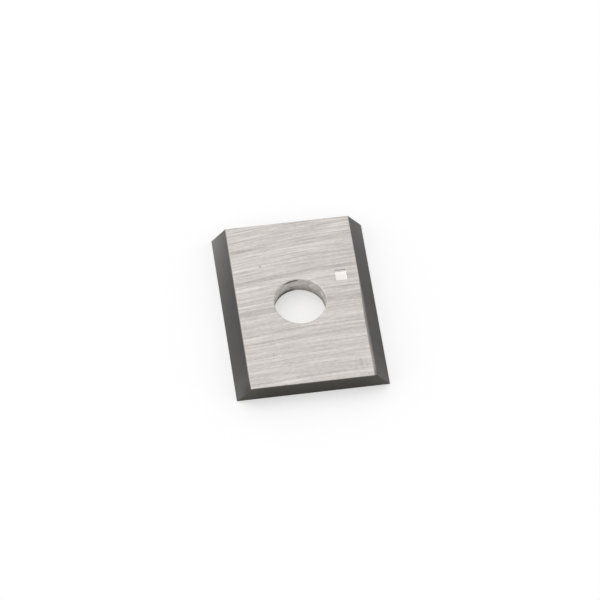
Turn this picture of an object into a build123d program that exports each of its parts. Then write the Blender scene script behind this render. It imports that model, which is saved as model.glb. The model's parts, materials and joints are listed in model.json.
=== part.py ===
from build123d import *
import math
import os

# A reversible carbide insert for a woodworking cutter head: one sintered plate with two
# ground cutting edges, a hole for its clamping screw and a square index mark.
# X runs across the plate, Y along the cutting edges, and Z up from the rake face, which is
# the larger face and holds both edges. The origin is the middle of the hole on that face.

# Driving dimensions, in millimetres and degrees.
EDGE_LENGTH = 15.0  # length of each cutting edge
INSERT_WIDTH = 12.0  # from one cutting edge to the other
THICKNESS = 1.5
FLANK_ANGLE = 36.0  # how far each flank leans in from square to the rake face
BORE_DIAMETER = 4.05  # close clearance hole for an M4 screw
RIM_BREAK = 0.05  # chamfer round both mouths of the hole
INDEX_WIDTH = 0.87  # the index mark across the plate
INDEX_LENGTH = 0.96  # the index mark along the cutting edges
INDEX_DEPTH = 0.14
INDEX_CORNER = 0.1  # radius at the mark's corners
INDEX_MARGIN = 0.94  # from the mark to the long edge of the back face
INDEX_ALONG = 2.05  # from the hole's middle to the mark's middle, along Y
WEAR_LENGTH = 9.5  # rubbed land on one long edge of the back face, from the near corner
WEAR_RUN_OUT = 4.0  # the last part of that length, where the land narrows to nothing
WEAR_DROP = 0.11  # how far the land reaches down the flank
WEAR_INSET = 0.15  # how far it reaches in over the back face

# Sizes that follow from them.
HALF_LENGTH = EDGE_LENGTH / 2
HALF_RAKE = INSERT_WIDTH / 2
FLANK_LEAN = math.tan(math.radians(FLANK_ANGLE))
HALF_BACK = HALF_RAKE - THICKNESS * FLANK_LEAN
NODE = "insert"


def ground_plate():
    """The plate's trapezoid section, widest at the rake face, drawn along the cutting edges."""
    outline = Polyline(
        (-HALF_RAKE, 0),
        (HALF_RAKE, 0),
        (HALF_BACK, THICKNESS),
        (-HALF_BACK, THICKNESS),
        close=True,
    )
    section = Plane.XZ * make_face(outline)
    return extrude(section, amount=HALF_LENGTH, both=True)


def with_screw_hole(plate):
    """Cut the screw hole through the plate and break the sharp rim at both faces."""
    hole = Cylinder(BORE_DIAMETER / 2, THICKNESS, align=(Align.CENTER, Align.CENTER, Align.MIN))
    drilled = plate - hole
    rims = drilled.edges().filter_by(GeomType.CIRCLE)
    return chamfer(rims, RIM_BREAK)


def index_mark():
    """The shallow square pocket in the back face that tells one cutting edge from the other."""
    middle = (HALF_BACK - INDEX_MARGIN - INDEX_WIDTH / 2, INDEX_ALONG, THICKNESS)
    outline = Pos(*middle) * RectangleRounded(INDEX_WIDTH, INDEX_LENGTH, INDEX_CORNER)
    return extrude(outline, amount=-INDEX_DEPTH)


def edge_wear():
    """What is rubbed off the back face's +X edge, next to the plate's -Y end."""
    corner = Vector(HALF_BACK, 0, THICKNESS)
    on_back = corner - Vector(WEAR_INSET, 0, 0)
    on_flank = corner + Vector(WEAR_DROP * FLANK_LEAN, 0, -WEAR_DROP)
    outside = corner * 2 - (on_back + on_flank) / 2

    def section(along):
        shift = Vector(0, along, 0)
        return make_face(Polyline(on_back + shift, on_flank + shift, outside + shift, close=True))

    run_out_end = WEAR_LENGTH - HALF_LENGTH
    full_land = [section(-HALF_LENGTH), section(run_out_end - WEAR_RUN_OUT)]
    tip = Vertex(corner + Vector(0, run_out_end, 0))
    return loft(full_land, ruled=True) + loft([full_land[-1], tip], ruled=True)


def insert():
    return with_screw_hole(ground_plate()) - index_mark() - edge_wear()


os.makedirs("parts", exist_ok=True)
export_step(insert(), f"parts/{NODE}.step")
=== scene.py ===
"""A reversible carbide insert lying on a white table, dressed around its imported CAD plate."""

import json
import math

import bpy
import numpy as np
from mathutils import Matrix, Vector, noise


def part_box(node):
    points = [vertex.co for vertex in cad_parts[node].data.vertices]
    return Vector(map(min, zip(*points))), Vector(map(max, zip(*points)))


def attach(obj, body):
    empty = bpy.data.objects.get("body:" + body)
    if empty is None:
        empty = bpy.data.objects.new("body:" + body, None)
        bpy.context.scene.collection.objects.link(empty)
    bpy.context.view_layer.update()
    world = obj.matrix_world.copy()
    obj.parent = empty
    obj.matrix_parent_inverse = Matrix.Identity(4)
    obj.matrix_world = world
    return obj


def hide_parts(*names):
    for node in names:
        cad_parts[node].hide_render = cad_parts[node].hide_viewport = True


MM = 0.001  # metres in a millimetre; the scene is in metres and the sizes below in millimetres

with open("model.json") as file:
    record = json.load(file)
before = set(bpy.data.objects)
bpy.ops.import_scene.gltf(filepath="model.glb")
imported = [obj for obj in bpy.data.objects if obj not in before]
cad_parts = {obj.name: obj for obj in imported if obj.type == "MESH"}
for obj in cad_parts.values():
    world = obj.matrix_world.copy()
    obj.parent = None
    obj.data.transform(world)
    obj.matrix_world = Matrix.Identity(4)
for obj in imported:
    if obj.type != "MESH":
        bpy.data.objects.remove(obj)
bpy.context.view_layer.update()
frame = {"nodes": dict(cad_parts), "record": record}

# ---------------------------------------------------------------------------------------------
# Sizes, in millimetres, taken from the CAD plate.
# ---------------------------------------------------------------------------------------------
NODE = "insert"
TOUCHING = 0.001  # a point this close to a face lies on it
CLEAR = 0.5  # a point this far inside an outline doesn't belong to it
plate = frame["nodes"][NODE]
plate_points = np.array([v.co for v in plate.data.vertices]) / MM
across, along, up = plate_points.T
HALF_RAKE, HALF_LENGTH, THICKNESS = (Vector(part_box(NODE)[1]) / MM)[:]
on_back = up > THICKNESS - TOUCHING
HALF_BACK = across[on_back].max()
FLANK_LEAN = (HALF_RAKE - HALF_BACK) / THICKNESS
BORE_RADIUS = next(m for m in frame["record"]["mounts"] if m["kind"] == "bore")["dims"]["r_mm"]

# The index mark's pocket is all that lies inside the back face's outline and away from the hole.
in_upper_half = up > THICKNESS / 2
in_outline = (abs(across) < HALF_BACK - CLEAR) & (abs(along) < HALF_LENGTH - CLEAR)
in_pocket = in_upper_half & in_outline & (np.hypot(across, along) > BORE_RADIUS + CLEAR)
mark_low, mark_high = plate_points[in_pocket].min(0), plate_points[in_pocket].max(0)
MARK_MIDDLE = (mark_low + mark_high)[:2] / 2
MARK_HALF = (mark_high - mark_low)[:2] / 2
MARK_DEPTH = THICKNESS - mark_low[2]

# The rubbed land on the back face's +X edge starts at a point, is full from a second place on,
# and runs out through the near end.
on_land = in_upper_half & (across > HALF_BACK - CLEAR)
before_far_end = along < HALF_LENGTH - CLEAR
at_near_end = along < TOUCHING - HALF_LENGTH
WEAR_START = along[on_land & on_back & before_far_end].max()
WEAR_FULL = along[on_land & ~on_back & before_far_end].max()
WEAR_INSET = HALF_BACK - across[on_land & on_back & at_near_end].max()
WEAR_DROP = THICKNESS - up[on_land & ~on_back & at_near_end].min()

# ---------------------------------------------------------------------------------------------
# Finer sizes of the edges, in millimetres. A cut reaches in over one face and down the other,
# and is round or flat between them.
# ---------------------------------------------------------------------------------------------
ARRIS = 0.02  # how far a ground edge's rounding reaches each way
DULL_ARRIS = 0.04  # the same on the -X side and the near end, which are a little duller
CUTTING_ARRIS = 0.005
CUTTING_NICKS = 0.012  # depth of the small nicks in the rake face's edges
BACK_RIM = 0.045  # broken rim of the hole at the back face
RIM_LEAN = 0.035  # how much wider that rim is on one side, and narrower on the other
RIM_LEAN_ANGLE = math.radians(50)  # the side on which it is widest
RAKE_RIM = 0.04
CORNER_RADIUS = 0.02  # the upright corners between flanks and ends
ROUGH_EDGE = 0.008  # how much the grinding wheel's edge wanders
ROUGH_NEAR_EDGE = 2.5  # how many times more it wanders at the near end
NICK_PLACE, NICK_WIDTH, NICK_DEPTH = -2.15, 0.1, 0.05  # chip in the near end's upper edge
END_UNEVENNESS = 0.004  # of the pressed ends
BORE_LUMPS = 0.006
MARK_CORNER, MARK_LIP, MARK_FLOOR_RADIUS = 0.1, 0.015, 0.03

# Mesh steps.
LONG_STEPS, SHORT_STEPS, CORNER_STEPS, EDGE_STEPS = 300, 200, 4, 4
BORE_STEPS, MARK_STEPS = 13, 32
FACE_SHARES = (0.02, 0.25, 0.5, 0.75, 0.98)  # where rings lie between a flat face's two borders
SIDE_SHARES = (0.03, 0.2, 0.35, 0.5, 0.65, 0.8, 0.97)


# ---------------------------------------------------------------------------------------------
# The plate: rings that run round the hole, out over the back face, down the sides, in over the
# rake face and back up the bore. Every ring has the same number of points.
# ---------------------------------------------------------------------------------------------
def perimeter():
    """For each ring point: its side's unit square place, its corner arc direction and its side."""
    place, outward, side = [], [], []
    for quarter, steps in enumerate([LONG_STEPS, SHORT_STEPS] * 2):
        face = np.array([math.cos(quarter * math.pi / 2), math.sin(quarter * math.pi / 2)]).round()
        onward = np.array([-face[1], face[0]])
        for share in np.linspace(-1, 1, steps + 1):
            place.append(face + onward * share)
            outward.append(face)
            side.append(quarter)
        for turn in np.linspace(0, math.pi / 2, CORNER_STEPS + 1)[1:-1]:
            place.append(face + onward)
            outward.append(face * math.cos(turn) + onward * math.sin(turn))
            side.append(quarter)
    return np.array(place), np.array(outward), np.array(side)


PLACE, OUTWARD, SIDE = perimeter()
COUNT = len(PLACE)
FIRST_ANGLE = -math.pi * LONG_STEPS / COUNT
ANGLE = FIRST_ANGLE + 2 * math.pi * np.arange(COUNT) / COUNT
WORN_SIDE, DULL_SIDE, NEAR_END = 0, 2, 3
ON_END = SIDE % 2 == 1


def outer_ring(inset, height):
    """Points of the plate's outline at a height, moved in by inset; both may differ by point."""
    inset, height = np.broadcast_to(inset, COUNT), np.broadcast_to(height, COUNT)
    half = np.stack([HALF_RAKE - FLANK_LEAN * height - inset, HALF_LENGTH - inset], 1)
    plan = PLACE * (half - CORNER_RADIUS) + OUTWARD * CORNER_RADIUS
    return np.column_stack([plan, height])


def bore_ring(radius, height):
    """Points round the bore's axis at a height; both numbers may differ by point."""
    radius, height = np.broadcast_to(radius, COUNT), np.broadcast_to(height, COUNT)
    return np.column_stack([radius * np.cos(ANGLE), radius * np.sin(ANGLE), height])


def wander(points, size, seed):
    """Smooth noise from -1 to 1 at each point, with features of about the given size."""
    return np.array([noise.noise(Vector(p) / size + Vector((seed, 0, 0))) for p in points])


def edge_strip(start, sharp, end, roundness):
    """Rings from start to end round a sharp edge. Roundness 0 cuts straight across, 1 bends."""
    pull = (start + end) / 2 + (sharp - (start + end) / 2) * np.reshape(roundness, (-1, 1))
    shares = np.linspace(0, 1, EDGE_STEPS + 1)
    return [(1 - t) ** 2 * start + 2 * t * (1 - t) * pull + t * t * end for t in shares]


def face_strip(start, end):
    """Rings over a flat face between its two borders, which aren't among them."""
    return [start + (end - start) * share for share in FACE_SHARES]


def land_depth(sharp):
    """How full the rubbed land is at each point: along its side, and over the near end's bit."""
    depth = np.clip((WEAR_START - sharp[:, 1]) / (WEAR_START - WEAR_FULL), 0, 1)
    depth *= (SIDE == WORN_SIDE) * (1 + 0.12 * wander(sharp, size=0.5, seed=5))
    reached = (sharp[:, 0] - HALF_BACK + WEAR_INSET) / WEAR_INSET
    return depth + (SIDE == NEAR_END) * np.clip(reached, 0, 1)


def back_edge():
    """The back face's outer edge: finely rounded, a little uneven, rubbed on one long side."""
    sharp = outer_ring(0, THICKNESS)
    ragged = wander(sharp, size=0.16, seed=3) + 0.6 * wander(sharp, size=0.05, seed=9)
    rough = ROUGH_EDGE * np.clip(ragged, 0, 1) * np.where(SIDE == NEAR_END, ROUGH_NEAR_EDGE, 1)
    nick = np.exp(-(((sharp[:, 0] - NICK_PLACE) / NICK_WIDTH) ** 2)) * (SIDE == NEAR_END)
    rough += NICK_DEPTH * nick + (DULL_ARRIS - ARRIS) * np.isin(SIDE, (DULL_SIDE, NEAR_END))
    depth = land_depth(sharp)
    start = outer_ring(ARRIS + rough, THICKNESS)
    # The land takes its inset across the plate; the near end is squeezed to stop where it does.
    squeezed = np.where(SIDE == NEAR_END, (1 + PLACE[:, 0]) / 2, depth)
    start[:, 0] -= squeezed * (WEAR_INSET - ARRIS)
    end = outer_ring(0, THICKNESS - ARRIS - rough - depth * (WEAR_DROP - ARRIS))
    # Where the land is a third full or more, the edge is only half as round.
    worn = np.clip(depth * 3, 0, 1)
    return edge_strip(start, sharp, end, roundness=1 - 0.5 * worn)


def cutting_edge():
    """The outer edge of the rake face: the two cutting edges, and the ends between them."""
    sharp = outer_ring(0, 0)
    cut = CUTTING_ARRIS + CUTTING_NICKS * np.clip(wander(sharp, size=0.09, seed=21) - 0.35, 0, 1)
    return edge_strip(outer_ring(0, cut), sharp, outer_ring(cut, 0), roundness=1)


def back_rim():
    """The hole's rim at the back face, broken unevenly: most of all towards +X +Y."""
    size = BACK_RIM * (1 + 0.25 * wander(bore_ring(BORE_RADIUS, 0), size=0.3, seed=31))
    size += RIM_LEAN * np.cos(ANGLE - RIM_LEAN_ANGLE)
    sharp = bore_ring(BORE_RADIUS, THICKNESS)
    wall, face = bore_ring(BORE_RADIUS, THICKNESS - size), bore_ring(BORE_RADIUS + size, THICKNESS)
    return edge_strip(wall, sharp, face, roundness=0.4)


def rake_rim():
    """The hole's rim at the rake face, broken more evenly."""
    sharp = bore_ring(BORE_RADIUS, 0)
    size = RAKE_RIM * (1 + 0.1 * wander(sharp, size=0.4, seed=41))
    wall, face = bore_ring(BORE_RADIUS, size), bore_ring(BORE_RADIUS + size, 0)
    return edge_strip(face, sharp, wall, roundness=0.3)


def sides(top, bottom):
    """Flanks, ground flat, and ends, which keep a faint unevenness from pressing."""
    rings = []
    for share in SIDE_SHARES:
        height = top[:, 2] + (bottom[:, 2] - top[:, 2]) * share
        uneven = 1 + wander(outer_ring(0, height), size=0.35, seed=51)
        away_from_edges = min(1, 8 * share * (1 - share))
        rings.append(outer_ring(END_UNEVENNESS * ON_END * uneven * away_from_edges, height))
    return rings


def bore_wall(bottom, top):
    """The bore as it was pressed, with a slightly lumpy wall."""
    rings = []
    for share in np.linspace(0, 1, BORE_STEPS + 1)[1:-1]:
        height = bottom[:, 2] + (top[:, 2] - bottom[:, 2]) * share
        lumps = BORE_LUMPS * wander(bore_ring(BORE_RADIUS, height), size=0.12, seed=61)
        rings.append(bore_ring(BORE_RADIUS + lumps, height))
    return rings


def plate_rings():
    """All rings in order, and for each strip between two of them the name of its surface."""
    inner, outer, lower, foot = back_rim(), back_edge(), cutting_edge(), rake_rim()
    parts = [
        (inner, "rim"),
        (face_strip(inner[-1], outer[0]), "back"),
        (outer, "arris"),
        (sides(outer[-1], lower[0]), "side"),
        (lower, "edge"),
        (face_strip(lower[-1], foot[0]), "rake"),
        (foot, "rim"),
        (bore_wall(foot[-1], inner[0]), "bore"),
    ]
    rings, surfaces = [], []
    for part, surface in parts:
        is_edge = surface in ("rim", "arris", "edge")
        rings += part
        # A flat part owns the strip before its first ring and the one after its last.
        surfaces += [surface] * (len(part) - 1 if is_edge else len(part) + 1)
    return rings, surfaces


def add_object(name, data):
    thing = bpy.data.objects.new(name, data)
    bpy.context.scene.collection.objects.link(thing)
    return thing


def mesh_of(name, rings, closed):
    """A mesh through the rings, each joined to the next, with flat lids if it isn't closed."""
    count = len(rings[0])
    faces = []
    for j in range(len(rings) if closed else len(rings) - 1):
        here, there = j * count, (j + 1) % len(rings) * count
        for i in range(count):
            k = (i + 1) % count
            faces.append((here + i, there + i, there + k, here + k))
    if not closed:
        faces.append(tuple(range(count)))
        faces.append(tuple(range(len(rings) * count - 1, (len(rings) - 1) * count - 1, -1)))
    mesh = bpy.data.meshes.new(name)
    mesh.from_pydata((np.concatenate(rings) * MM).tolist(), [], faces)
    mesh.validate()
    return add_object(name, mesh)


def mark_cutter():
    """What is taken out for the index mark: a near-square with soft corners, lip and floor."""
    above, radius, floor = 0.05, MARK_FLOOR_RADIUS, -MARK_DEPTH
    # For each ring, how far it lies outside the mark's outline and above the back face.
    profile = [
        (above + MARK_LIP, above),
        (MARK_LIP, 0),
        (0, -MARK_LIP),
        (0, floor + radius),
        (-0.3 * radius, floor + 0.3 * radius),
        (-radius, floor),
        (-1.4 * radius, floor),
    ]
    turns = np.linspace(0, 2 * math.pi, MARK_STEPS + 1)[:-1]
    direction = np.stack([np.cos(turns), np.sin(turns)], 1)
    square = np.sign(np.round(direction, 9)) * (MARK_HALF - MARK_CORNER)
    # The four directions along the axes belong to the corners that follow them.
    square[:: MARK_STEPS // 4] = square[1 :: MARK_STEPS // 4]
    rings = []
    for grow, height in profile:
        plan = MARK_MIDDLE + square + direction * (MARK_CORNER + grow)
        rings.append(np.column_stack([plan, np.full(len(plan), THICKNESS + height)]))
    return mesh_of("mark_cutter", rings, closed=False)


# ---------------------------------------------------------------------------------------------
# Shader nodes
# ---------------------------------------------------------------------------------------------
class Graph:
    """Short names for building with the shader nodes of a material or of the world."""

    def __init__(self, tree):
        self.tree = tree

    def plug(self, socket, value):
        """Link a socket to another node's output, or set it to a number or colour."""
        if isinstance(value, bpy.types.NodeSocket):
            self.tree.links.new(value, socket)
        else:
            socket.default_value = value

    def coordinates(self, kind):
        return self.tree.nodes.new("ShaderNodeTexCoord").outputs[kind]

    def split(self, vector):
        node = self.tree.nodes.new("ShaderNodeSeparateXYZ")
        self.plug(node.inputs[0], vector)
        return tuple(node.outputs)

    def join(self, x, y, z=0.0):
        node = self.tree.nodes.new("ShaderNodeCombineXYZ")
        for socket, value in zip(node.inputs, (x, y, z)):
            self.plug(socket, value)
        return node.outputs[0]

    def vector(self, operation, a, b=None, scale=None):
        node = self.tree.nodes.new("ShaderNodeVectorMath")
        node.operation = operation
        self.plug(node.inputs[0], a)
        if b is not None:
            self.plug(node.inputs[1], b)
        if scale is not None:
            self.plug(node.inputs["Scale"], scale)
        return node.outputs["Value" if operation == "LENGTH" else "Vector"]

    def math(self, operation, *values):
        node = self.tree.nodes.new("ShaderNodeMath")
        node.operation = operation
        for socket, value in zip(node.inputs, values):
            self.plug(socket, value)
        return node.outputs[0]

    def scaled_sum(self, *terms):
        """The sum of (value, factor) pairs."""
        total = 0.0
        for value, factor in terms:
            total = self.math("MULTIPLY_ADD", value, factor, total)
        return total

    def product(self, first, *others):
        for other in others:
            first = self.math("MULTIPLY", first, other)
        return first

    def step(self, value, low, high):
        """0 below low and 1 above high, smooth between; low may be the larger one."""
        node = self.tree.nodes.new("ShaderNodeMapRange")
        node.interpolation_type = "SMOOTHSTEP"
        for socket, number in zip(node.inputs[:3], (value, low, high)):
            self.plug(socket, number)
        return node.outputs[0]

    def between(self, value, low, high, soft):
        """1 from low to high and 0 outside, smooth over the soft width at each end."""
        rise = self.step(value, low - soft, low)
        return self.math("MULTIPLY", rise, self.step(value, high + soft, high))

    def darken(self, factor, mask, share):
        """The factor, less a share of it where the mask is 1."""
        return self.math("MULTIPLY", factor, self.math("MULTIPLY_ADD", mask, -share, 1.0))

    def mix(self, factor, a, b):
        node = self.tree.nodes.new("ShaderNodeMix")
        for name, value in (("Factor", factor), ("A", a), ("B", b)):
            self.plug(node.inputs[name], value)
        return node.outputs["Result"]

    def noise(self, place, scale=1.0, detail=2.0):
        """Noise centred on 0, from about -0.5 to 0.5."""
        node = self.tree.nodes.new("ShaderNodeTexNoise")
        self.plug(node.inputs["Vector"], place)
        node.inputs["Scale"].default_value = scale
        node.inputs["Detail"].default_value = detail
        return self.math("SUBTRACT", node.outputs[0], 0.5)

    def seen_directly(self):
        """1 for camera, glossy and transmission rays, and 0 for the rest."""
        rays = self.tree.nodes.new("ShaderNodeLightPath").outputs
        mirrored = self.math("MAXIMUM", rays["Is Glossy Ray"], rays["Is Transmission Ray"])
        return self.math("MAXIMUM", rays["Is Camera Ray"], mirrored)


class Metal(Graph):
    """A metal whose colour may vary from place to place, with places in millimetres."""

    def __init__(self, name, roughness, edge_tint=1.0):
        self.material = bpy.data.materials.new(name)
        self.material.use_nodes = True
        super().__init__(self.material.node_tree)
        self.shader = self.tree.nodes["Principled BSDF"].inputs
        self.shader["Metallic"].default_value = 1.0
        self.shader["Roughness"].default_value = roughness
        self.shader["Specular Tint"].default_value = (edge_tint, edge_tint, edge_tint, 1)
        self.place = self.vector("SCALE", self.coordinates("Object"), scale=1 / MM)
        self.x, self.y, self.z = self.split(self.place)

    def spot(self, place, size):
        """1 at a place and 0 outside an ellipsoid of the given half sizes about it."""
        offset = self.vector("DIVIDE", self.vector("SUBTRACT", self.place, place), size)
        return self.step(self.vector("LENGTH", offset), 1.0, 0.3)

    def tint(self, colour, factor):
        """Set the base colour to a colour times a factor that varies over the surface."""
        self.plug(self.shader["Base Color"], self.vector("SCALE", colour, scale=factor))

    def roughness(self, value):
        self.plug(self.shader["Roughness"], value)

    def bump(self, height, depth):
        """Height varies by about 1, which stands for a depth in millimetres."""
        node = self.tree.nodes.new("ShaderNodeBump")
        node.inputs["Distance"].default_value = depth * MM
        self.plug(node.inputs["Height"], height)
        self.plug(self.shader["Normal"], node.outputs[0])


# ---------------------------------------------------------------------------------------------
# Materials
# ---------------------------------------------------------------------------------------------
# The insert is all one metal. Its surfaces differ in colour because each colour also holds some
# of the shade and reflection that the surface shows from the camera's side. That is painted by
# place on the insert, so it stays where it is in other views and under other light.
GROUND = (0.536, 0.507, 0.485)
RUBBED = (1.03, 0.955, 0.905)  # at full shade, which the land never reaches
FLANK = (0.133, 0.130, 0.1285)
PRESSED_END = (0.066, 0.0615, 0.053)
PRESSED_BORE = (0.63, 0.602, 0.57)
MARK_WALL = (0.86, 0.84, 0.815)
MARK_FLOOR = (0.815, 0.79, 0.77)

# The wheel's path over a face, y = slope x + bend x^2 + twist x^3, and how it fans out in y.
PATH_SLOPE, PATH_BEND, PATH_TWIST, PATH_FAN = 0.076, -0.0056, -0.00034, 0.003
# How much finer and stronger its lines get for each millimetre towards the far end.
LINES_FINER, LINES_STRONGER = 0.012, 0.045
# Bands listed for the back face: where one crosses x = 0, its half width, and how much
# lighter or darker it is. Most are bands that the wheel left, and the others only even out what
# the noise puts between them. An empty list leaves the face to the noise.
BACK_BANDS = [
    (-7.05, 0.14, 1.0),
    (-6.8, 0.12, -0.7),
    (-5.72, 0.12, 0.7),
    (-4.9, 0.16, 0.7),
    (-4.15, 0.2, 0.6),
    (-3.1, 0.22, -0.5),
    (-2.62, 0.1, 0.8),
    (-2.4, 0.13, -1.1),
    (-1.74, 0.12, 0.6),
    (-0.25, 0.4, -0.7),
    (0.4, 0.1, 0.9),
    (1.0, 0.1, 0.9),
    (2.0, 0.22, 0.6),
    (2.75, 0.25, -0.65),
    (3.2, 0.12, 0.6),
    (3.88, 0.16, 1.0),
    (5.08, 0.14, 1.3),
    (5.62, 0.15, -0.8),
    (6.3, 0.2, -0.45),
]
BAND_CONTRAST = 0.2
# Small pits, smudges and one rubbed strip on the back face: place, half sizes and how much darker.
BACK_PITS = [
    ((-2.65, 3.6), (0.1, 0.21), 0.33),
    ((-2.85, 3.33), (0.09, 0.08), 0.2),
    ((-2.74, -4.6), (0.1, 0.23), 0.2),
    ((0.57, -6.61), (0.1, 0.08), 0.15),
    ((3.9, -6.15), (0.2, 0.6), 0.16),
    ((3.45, -6.5), (0.16, 0.45), 0.07),
    ((4.3, -6.35), (0.12, 0.4), 0.07),
    ((4.55, -6.2), (0.3, 2.2), -0.06),
]
PIT_REACH = 0.1  # half size of a pit's mark across the face, so that it stays on that face


def wheel_lines(n, seed):
    """Where a point lies across a cup wheel's path, the fine lines left there, and scratches.

    The lines are long and nearly parallel, and bend as the path does.
    """
    bend = n.math("MULTIPLY_ADD", n.x, -PATH_TWIST, -PATH_BEND)
    bend = n.math("MULTIPLY_ADD", n.x, bend, -PATH_SLOPE)
    fan = n.math("MULTIPLY_ADD", n.x, -PATH_FAN, 1.0)
    crossing = n.math("MULTIPLY_ADD", n.y, fan, n.math("MULTIPLY", n.x, bend))
    spread = n.math("MULTIPLY", crossing, n.math("MULTIPLY_ADD", crossing, LINES_FINER, 1.0))
    strength = n.math("MULTIPLY_ADD", crossing, LINES_STRONGER, 0.98)

    def layer(width, length, offset, detail=0.0):
        """Noise drawn out along the path; the offset keeps one layer from repeating another."""
        place = n.join(n.math("DIVIDE", n.x, length), n.math("DIVIDE", spread, width), seed + offset)
        return n.noise(place, detail=detail)

    lines = n.scaled_sum(
        (layer(width=0.11, length=2.6, offset=0.0), 0.44),
        (layer(width=0.2, length=8.0, offset=7.3, detail=1.0), 0.36),
        (layer(width=0.5, length=14.0, offset=13.1), 0.08),
    )
    grain = layer(width=0.06, length=0.3, offset=17.7)
    thin = n.math("ABSOLUTE", layer(width=0.75, length=22.0, offset=23.9))
    return crossing, n.scaled_sum((grain, 0.32), (lines, strength)), n.step(thin, 0.035, 0.0)


def ground_face(name, seed, contrast, bands=(), pits=()):
    """Pale metal with the wheel's lines, a few bright scratches, and faint clouds."""
    typical_roughness = 0.36
    n = Metal(name, typical_roughness)
    crossing, fine, scratches = wheel_lines(n, seed)
    waver = n.math("ADD", n.noise(n.join(n.math("DIVIDE", n.x, 3.0), crossing, seed)), 0.9)
    lines = n.scaled_sum((fine, 1.0), (scratches, 0.09))
    for place, half_width, strength in bands:
        distance = n.math("ABSOLUTE", n.math("SUBTRACT", crossing, place))
        band = n.math("MULTIPLY", n.step(distance, half_width, 0.0), waver)
        lines = n.math("MULTIPLY_ADD", band, BAND_CONTRAST * strength, lines)
    cloud = n.noise(n.place, scale=0.35)
    factor = n.scaled_sum((lines, contrast), (cloud, 0.06), (1.0, 1.0))
    for place, size, dark in pits:
        factor = n.darken(factor, n.spot((*place, THICKNESS), (*size, PIT_REACH)), dark)
    n.tint(GROUND, factor)
    n.roughness(n.math("MULTIPLY_ADD", lines, 0.12, typical_roughness))
    n.bump(lines, depth=0.002)
    return n.material


def rubbed_land():
    """The back face's broken edges: duller than the face, and painted darker down to the flank."""
    n = Metal("rubbed_land", roughness=0.45)
    grain = n.noise(n.place, scale=9.0, detail=3.0)
    climb = n.math("SUBTRACT", n.z, THICKNESS - WEAR_DROP)
    # Painted shade: the land gets darker down towards the flank.
    shade = n.scaled_sum((climb, 1.95), (grain, 0.07), (0.1, 1.0))
    # Painted lighter within about 3 mm of the near end, then painted darker in the corner,
    # and again on the near end's own edge.
    from_near_end = n.math("ADD", n.y, HALF_LENGTH)
    lighter = n.math("MULTIPLY_ADD", n.step(from_near_end, 3.3, 1.5), 0.24, 1.0)
    lighter = n.darken(lighter, n.step(from_near_end, 0.8, 0.3), 0.3)
    lighter = n.darken(lighter, n.step(from_near_end, 0.1, 0.05), 0.4)
    n.tint(RUBBED, n.math("MULTIPLY", shade, lighter))
    n.bump(grain, depth=0.003)
    return n.material


def ground_flank():
    """Ground metal with fine slanting lines, painted dark for the dark that it reflects.

    It is lighter at the far end and a little at the near one, which is painted as well.
    """
    n = Metal("ground_flank", roughness=0.42, edge_tint=0.4)
    line_slant, line_width = 0.3, 0.12
    slanted = n.math("DIVIDE", n.math("MULTIPLY_ADD", n.z, line_slant, n.y), line_width)
    lines = n.noise(n.join(slanted, n.z, n.x))
    cloud = n.noise(n.place, scale=1.2, detail=3.0)
    # The far end's painted light grows with the square of the place from y = -1 on. It is
    # stronger on the -X flank and lower down.
    growth = n.math("MAXIMUM", n.math("MULTIPLY_ADD", n.y, 0.118, 0.118), 0.0)
    towards_left = n.math("MULTIPLY_ADD", n.x, -0.035, 0.62)
    lower_down = n.math("MULTIPLY_ADD", n.z, -0.4, 1.3)
    far_end = n.product(n.math("POWER", growth, 2.0), towards_left, lower_down)
    # A little painted light towards the near end too.
    near_end = n.step(n.y, -4.6, -7.5)
    # Painted shade: the flanks get darker upwards, most on the -X flank.
    darker_up = n.math("MULTIPLY", n.z, n.math("MULTIPLY_ADD", n.x, 0.018, -0.09))
    factor = n.scaled_sum(
        (lines, 0.1), (cloud, 0.14), (far_end, 1.0), (near_end, 0.22), (darker_up, 1.0), (1.06, 1.0)
    )
    # The top of the -X flank is painted darker in the near corner, as shade.
    corner = n.product(n.step(n.y, -6.3, -7.4), n.step(n.z, 0.3, 1.3), n.step(n.x, 0.0, -1.0))
    n.tint(FLANK, n.darken(factor, corner, 0.28))
    n.bump(lines, depth=0.0015)
    return n.material


def pressed(name, roughness, contrast):
    """The skin that sintering leaves: dull, finely grainy and mottled. Also gives its mottling."""
    n = Metal(name, roughness)
    grain = n.noise(n.place, scale=14.0, detail=3.0)
    cloud = n.noise(n.place, scale=3.0, detail=3.0)
    n.bump(n.scaled_sum((grain, 0.5), (cloud, 0.8)), depth=0.012)
    return n, n.scaled_sum((grain, contrast), (cloud, contrast), (1.0, 1.0))


def pressed_end():
    """Dark, partly as painted reflection, and painted lighter towards both flanks and upwards."""
    n, mottling = pressed("pressed_end", roughness=0.5, contrast=0.2)
    towards_flank = n.step(n.math("ABSOLUTE", n.x), 3.0, 6.2)
    lighter = n.scaled_sum((towards_flank, 0.55), (n.z, 0.12), (0.9, 1.0))
    n.tint(PRESSED_END, n.math("MULTIPLY", mottling, lighter))
    return n.material


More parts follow.
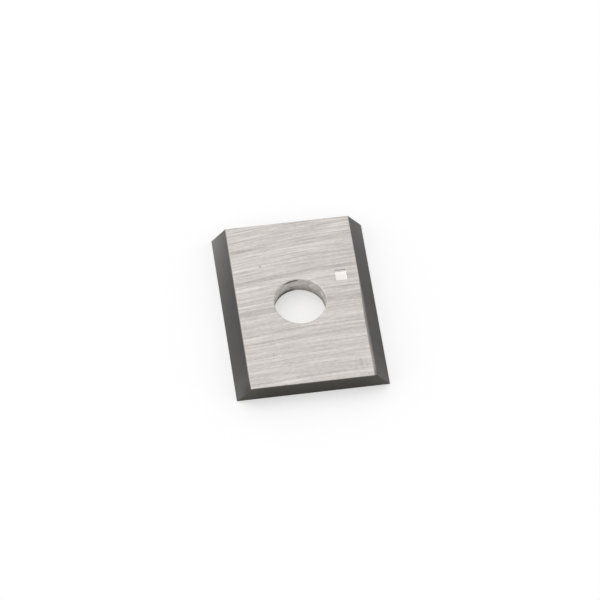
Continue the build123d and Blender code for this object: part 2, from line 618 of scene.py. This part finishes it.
def pressed_bore():
    """The bore's wall with a pit. Its dark foot and the line under the rim are painted shade."""
    n, factor = pressed("pressed_bore", roughness=0.6, contrast=0.9)
    angle = n.math("ARCTAN2", n.y, n.x)

    def sector(first, last, soft):
        """1 between two angles round the bore, in degrees."""
        return n.between(angle, *(math.radians(a) for a in (first, last, soft)))

    foot = n.step(n.z, 0.5, 0.14)
    dark_foot = n.math("MULTIPLY", foot, sector(103, 150, 14))
    under_rim = n.between(n.z, 1.33, 1.46, 0.04)
    dark_line = n.math("MULTIPLY", under_rim, sector(93, 113, 11))
    rim = n.step(n.z, 1.4, 1.46)
    pit_angle, pit_height, pit_size = math.radians(101), 0.52, (0.16, 0.1, 0.14)
    pit = (BORE_RADIUS * math.cos(pit_angle), BORE_RADIUS * math.sin(pit_angle), pit_height)
    # Painted shade: darker towards the foot and most in one sector of it, and a black line under one
    # stretch of rim. The wall is also a little darker just under the rim.
    factor = n.darken(factor, n.step(n.z, 1.0, 0.3), 0.3)
    factor = n.darken(factor, foot, 0.2)
    factor = n.darken(factor, dark_foot, 0.72)
    factor = n.darken(factor, rim, 0.12)
    factor = n.darken(factor, dark_line, 0.72)
    factor = n.darken(factor, n.spot(pit, pit_size), 0.42)
    n.tint(PRESSED_BORE, factor)
    return n.material


def mark_wall():
    """Bright as the floor, with shade painted on the top of the far wall."""
    n, mottling = pressed("mark_wall", roughness=0.5, contrast=0.1)
    far_wall = MARK_MIDDLE[1] + MARK_HALF[1]
    on_far_wall = n.step(n.y, far_wall - 0.09, far_wall - 0.04)
    top = n.step(n.z, 1.39, 1.43)
    n.tint(MARK_WALL, n.darken(mottling, n.math("MULTIPLY", on_far_wall, top), 0.62))
    return n.material


def mark_floor():
    """Bright, painted brightest along its far side and a little greyer towards its near side."""
    n = Metal("mark_floor", roughness=0.3)
    grain = n.noise(n.place, scale=6.0)
    far_off = n.math("SUBTRACT", n.y, float(MARK_MIDDLE[1]))
    far_side = n.step(far_off, 0.1, 0.3)
    factor = n.scaled_sum((grain, 0.08), (far_off, 0.12), (far_side, 0.08), (1.0, 1.0))
    n.tint(MARK_FLOOR, factor)
    return n.material


# ---------------------------------------------------------------------------------------------
# Putting the insert together
# ---------------------------------------------------------------------------------------------
SHARP_ANGLE = math.radians(38)  # edges that turn by more than this are shaded as sharp
FLOOR_REACH = 0.005  # the foot of the mark's wall counts as its floor up to this height, in mm


def insert():
    """The plate with a material for each of its surfaces, and the index mark taken out."""
    rings, surfaces = plate_rings()
    piece = mesh_of("ground_insert", rings, closed=True)
    slots = {
        "back": ground_face("ground_back", seed=0.0, contrast=1.0, bands=BACK_BANDS, pits=BACK_PITS),
        "arris": rubbed_land(),
        "flank": ground_flank(),
        "end": pressed_end(),
        "bore": pressed_bore(),
        "mark_wall": mark_wall(),
        "mark_floor": mark_floor(),
        "rake": ground_face("ground_rake", seed=57.0, contrast=0.8),
    }
    for material in slots.values():
        piece.data.materials.append(material)
    number = {name: i for i, name in enumerate(slots)}
    by_side = [number["end" if on_end else "flank"] for on_end in ON_END]
    chosen = []
    for surface in surfaces:
        if surface in ("side", "edge"):
            chosen += by_side
        else:
            chosen += [number["bore" if surface == "rim" else surface]] * COUNT
    piece.data.polygons.foreach_set("material_index", chosen)
    take_out_mark(piece, slots["mark_wall"], slots["mark_floor"])
    piece.data.shade_smooth()
    piece.data.set_sharp_from_angle(angle=SHARP_ANGLE)
    return piece


def take_out_mark(piece, wall, floor):
    """Cut the index mark into the piece, with its own materials on its wall and its floor."""
    cutter = mark_cutter()
    cutter.data.materials.append(wall)
    cutter.data.materials.append(floor)
    for polygon in cutter.data.polygons:
        is_floor = polygon.center.z < (THICKNESS - MARK_DEPTH + FLOOR_REACH) * MM
        polygon.material_index = 1 if is_floor else 0
    cut = piece.modifiers.new("mark", "BOOLEAN")
    cut.object = cutter
    cut.operation = "DIFFERENCE"
    cut.solver = "EXACT"
    cut.material_mode = "TRANSFER"
    evaluated = piece.evaluated_get(bpy.context.evaluated_depsgraph_get())
    whole = bpy.data.meshes.new_from_object(evaluated)
    piece.modifiers.clear()
    piece.data = whole
    bpy.data.objects.remove(cutter)


# ---------------------------------------------------------------------------------------------
# Table, light and camera, with places in metres unless their names say otherwise
# ---------------------------------------------------------------------------------------------
def white_table():
    """A pale table that reads as white to the camera and in reflections, with the shadow kept."""
    half, below, grey, glow = 2.0, 0.00001, 0.66, 0.41
    material = bpy.data.materials.new("table")
    material.use_nodes = True
    n = Graph(material.node_tree)
    shader = n.tree.nodes["Principled BSDF"].inputs
    shader["Base Color"].default_value = (grey, grey, grey, 1)
    shader["Roughness"].default_value = 1.0
    shader["Specular IOR Level"].default_value = 0.0
    shader["Emission Color"].default_value = (1, 1, 1, 1)
    n.plug(shader["Emission Strength"], n.math("MULTIPLY", n.seen_directly(), glow))
    mesh = bpy.data.meshes.new("table")
    corners = [(-half, -half), (half, -half), (half, half), (-half, half)]
    mesh.from_pydata([(x, y, -below) for x, y in corners], [], [(0, 1, 2, 3)])
    mesh.materials.append(material)
    add_object("table", mesh)


def soft_light():
    """A white surround, brightest at the sides and dimmest in front, and one large lamp.

    The camera and reflections see the surround as plain white, so its uneven brightness shows
    only on the table, in how the shadow falls.
    """
    world = bpy.data.worlds.new("surround")
    bpy.context.scene.world = world
    world.use_nodes = True
    n = Graph(world.node_tree)
    x, y, _ = n.split(n.coordinates("Generated"))
    middle_level, gain_at_sides, share_in_front = 0.7, 0.9, 0.4
    level = n.math("MULTIPLY_ADD", n.math("MULTIPLY", x, x), gain_at_sides, middle_level)
    level = n.darken(level, n.step(y, -0.2, -0.8), 1 - share_in_front)
    background = n.tree.nodes["Background"].inputs
    background["Color"].default_value = (1, 1, 1, 1)
    n.plug(background["Strength"], n.mix(n.seen_directly(), level, 1.0))

    lamp = bpy.data.lights.new("softbox", "AREA")
    lamp.shape = "DISK"
    lamp.size = 0.5
    lamp.energy = 0.6
    softbox = add_object("softbox", lamp)
    softbox.location = (-0.25, 0.35, 0.6)
    softbox.rotation_euler = (-softbox.location).to_track_quat("-Z", "Y").to_euler()


def camera():
    """The view from above the -Y end, a little to the left of it."""
    azimuth, elevation, roll = map(math.radians, (-9.856, 57.074, 1.914))
    distance_mm, right_mm, up_mm = 325.0, -0.019, -0.928
    pixels_per_mm, frame_pixels, sensor = 12.751, 600, 36.0
    away = Vector((math.sin(azimuth), -math.cos(azimuth), 0))
    level = Vector((math.cos(azimuth), math.sin(azimuth), 0))
    back = math.cos(elevation) * away + math.sin(elevation) * Vector((0, 0, 1))
    above = back.cross(level)
    right = math.cos(roll) * level + math.sin(roll) * above
    top = -math.sin(roll) * level + math.cos(roll) * above
    data = bpy.data.cameras.new("camera")
    data.sensor_width = sensor
    data.lens = pixels_per_mm * distance_mm / frame_pixels * sensor
    data.clip_start, data.clip_end = 0.01, 10.0
    eye = add_object("camera", data)
    eye.matrix_world = Matrix((right, top, back)).transposed().to_4x4()
    eye.location = (back * distance_mm - right * right_mm - top * up_mm) * MM
    bpy.context.scene.camera = eye


camera()
white_table()
soft_light()
piece = insert()
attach(piece, "root")
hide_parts(NODE)
bpy.context.scene.view_settings.view_transform = "Standard"
